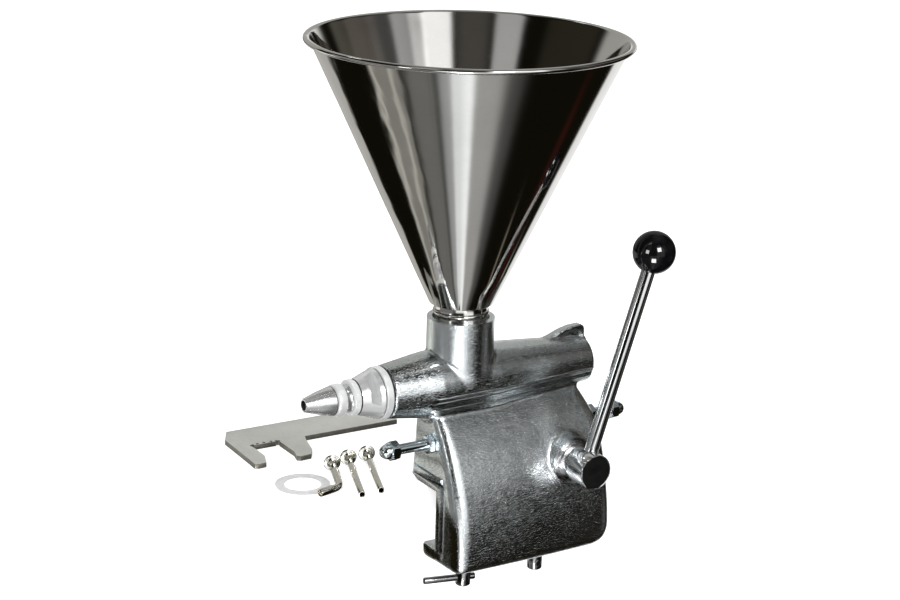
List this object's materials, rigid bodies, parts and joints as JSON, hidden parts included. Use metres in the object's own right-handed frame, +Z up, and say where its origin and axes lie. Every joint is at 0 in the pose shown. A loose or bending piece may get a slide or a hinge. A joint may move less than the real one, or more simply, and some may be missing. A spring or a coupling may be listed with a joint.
{
  "type": "pastry filling machine",
  "caption": "Table-clamped pastry filling machine: conical steel hopper on a cast body with a piston barrel, lever with ball knob, nozzle, and loose filling tubes, gasket and spanner.",
  "frame": {"origin": "where the hopper's axis meets the table top, on the seat face of the table pad", "axes": "+Z up along the hopper's axis; -X along the barrel towards the nozzle; -Y towards the operator's side with the lever"},
  "size_m": [0.3507, 0.3445, 0.5305],
  "materials": {
    "cast_aluminium": "polished",
    "hopper_steel": "polished",
    "steel": "satin",
    "zinc_steel": "bright zinc",
    "bright_chrome": "polished",
    "dark_steel": "polished",
    "spanner_steel": "ground",
    "black_plastic": "gloss",
    "bronze": "machined",
    "white_nylon": "matte",
    "white_rubber": "matte",
    "black_rubber": "matte"
  },
  "bodies": {
    "frame": {"body_casting": "cast_aluminium", "table_pad": "cast_aluminium", "pad_screws": "steel", "cylinder_liner": "steel", "rear_plug": "cast_aluminium", "cover_plate": "steel", "cover_gasket": "black_rubber", "cover_screws": "steel", "near_bush": "bronze", "inner_bush": "bronze", "bearing_ring": "cast_aluminium", "hopper_seal": "white_rubber", "valve_seat": "white_nylon", "union_seal": "white_rubber", "front_lock_nut": "zinc_steel", "rear_lock_nut": "zinc_steel"},
    "lever": {"lever_shaft": "steel", "shaft_circlip": "steel", "rocker_arm": "steel", "arm_pin": "steel", "lever_hub": "bright_chrome", "hub_set_screw": "steel", "hub_end_cap": "black_plastic", "lever_rod": "bright_chrome", "ball_knob": "black_plastic"},
    "piston_set": {"piston": "cast_aluminium", "piston_seals": "white_nylon", "piston_rod": "steel", "crosshead": "steel", "crosshead_pin": "steel"},
    "valve": {"valve_disc": "steel"},
    "nozzle_union": {"barrel_union": "cast_aluminium", "nozzle_lock_ring": "cast_aluminium", "nozzle_tip": "cast_aluminium", "valve_spring": "steel"},
    "hopper": {"hopper_cone": "hopper_steel", "hopper_spigot": "hopper_steel"},
    "front_stop": {"front_stop_screw": "zinc_steel", "front_cap_nut": "zinc_steel"},
    "rear_stop": {"rear_stop_screw": "zinc_steel", "rear_cap_nut": "zinc_steel"},
    "front_clamp": {"front_clamp_screw": "dark_steel"},
    "front_pad": {"front_clamp_pad": "dark_steel"},
    "front_bar": {"front_tommy_bar": "dark_steel"},
    "rear_clamp": {"rear_clamp_screw": "dark_steel"},
    "rear_pad": {"rear_clamp_pad": "dark_steel"},
    "rear_bar": {"rear_tommy_bar": "dark_steel"},
    "flat_spanner": {"spanner": "spanner_steel"},
    "loose_gasket": {"spare_gasket": "white_rubber"},
    "bent_spout": {"bent_tube": "bright_chrome", "bent_tube_flange": "bright_chrome"},
    "left_spout": {"left_tube": "bright_chrome", "left_tube_flange": "bright_chrome"},
    "right_spout": {"right_tube": "bright_chrome", "right_tube_flange": "bright_chrome"}
  },
  "joints": [
    {"name": "lever_swing", "type": "hinge", "parent": "frame", "child": "lever", "pos_m": [0.096, -0.05, 0.019], "axis": [0, -1, 0], "range_deg": [0, 40]},
    {"name": "piston_slide", "type": "slide", "parent": "frame", "child": "piston_set", "axis": [-1, 0, 0], "range_m": [0, 0.05756]},
    {"name": "valve_open", "type": "slide", "parent": "frame", "child": "valve", "axis": [-1, 0, 0], "range_m": [0, 0.008], "stiffness_N_per_m": 300, "springref_m": -0.006, "deforming": ["valve_spring"]},
    {"name": "union_pull_off", "type": "slide", "parent": "frame", "child": "nozzle_union", "axis": [-1, 0, 0], "range_m": [0, 0.08]},
    {"name": "hopper_lift_off", "type": "slide", "parent": "frame", "child": "hopper", "axis": [0, 0, 1], "range_m": [0, 0.15]},
    {"name": "front_stop_adjust", "type": "slide", "parent": "frame", "child": "front_stop", "axis": [-1, 0, 0], "range_m": [0, 0.02]},
    {"name": "rear_stop_adjust", "type": "slide", "parent": "frame", "child": "rear_stop", "axis": [1, 0, 0], "range_m": [0, 0.015]},
    {"name": "front_clamp_travel", "type": "slide", "parent": "frame", "child": "front_clamp", "axis": [0, 0, 1], "range_m": [-0.026, 0.014]},
    {"name": "front_pad_swivel", "type": "hinge", "parent": "front_clamp", "child": "front_pad", "pos_m": [0.002, -0.016, -0.031], "axis": [0, 0, 1], "continuous": true},
    {"name": "front_bar_slide", "type": "slide", "parent": "front_clamp", "child": "front_bar", "axis": [-0.9744, 0.225, 0], "range_m": [-0.031, 0.003]},
    {"name": "rear_clamp_travel", "type": "slide", "parent": "frame", "child": "rear_clamp", "axis": [0, 0, 1], "range_m": [-0.026, 0.014]},
    {"name": "rear_pad_swivel", "type": "hinge", "parent": "rear_clamp", "child": "rear_pad", "pos_m": [0.085, -0.016, -0.031], "axis": [0, 0, 1], "continuous": true},
    {"name": "rear_bar_slide", "type": "slide", "parent": "rear_clamp", "child": "rear_bar", "axis": [0.1045, 0.9945, 0], "range_m": [-0.036, 0]},
    {"name": "spanner_pick_up", "type": "slide", "parent": "frame", "child": "flat_spanner", "axis": [0, 0, 1], "range_m": [0, 0.15]},
    {"name": "gasket_pick_up", "type": "slide", "parent": "frame", "child": "loose_gasket", "axis": [0, 0, 1], "range_m": [0, 0.02]},
    {"name": "bent_spout_pick_up", "type": "slide", "parent": "frame", "child": "bent_spout", "axis": [0, 0, 1], "range_m": [0, 0.02]},
    {"name": "left_spout_pick_up", "type": "slide", "parent": "frame", "child": "left_spout", "axis": [0, 0, 1], "range_m": [0, 0.02]},
    {"name": "right_spout_pick_up", "type": "slide", "parent": "frame", "child": "right_spout", "axis": [0, 0, 1], "range_m": [0, 0.02]}
  ],
  "couplings": [
    {"joint": "piston_slide", "follows": "lever_swing", "m_per_rad": 0.082373}
  ]
}
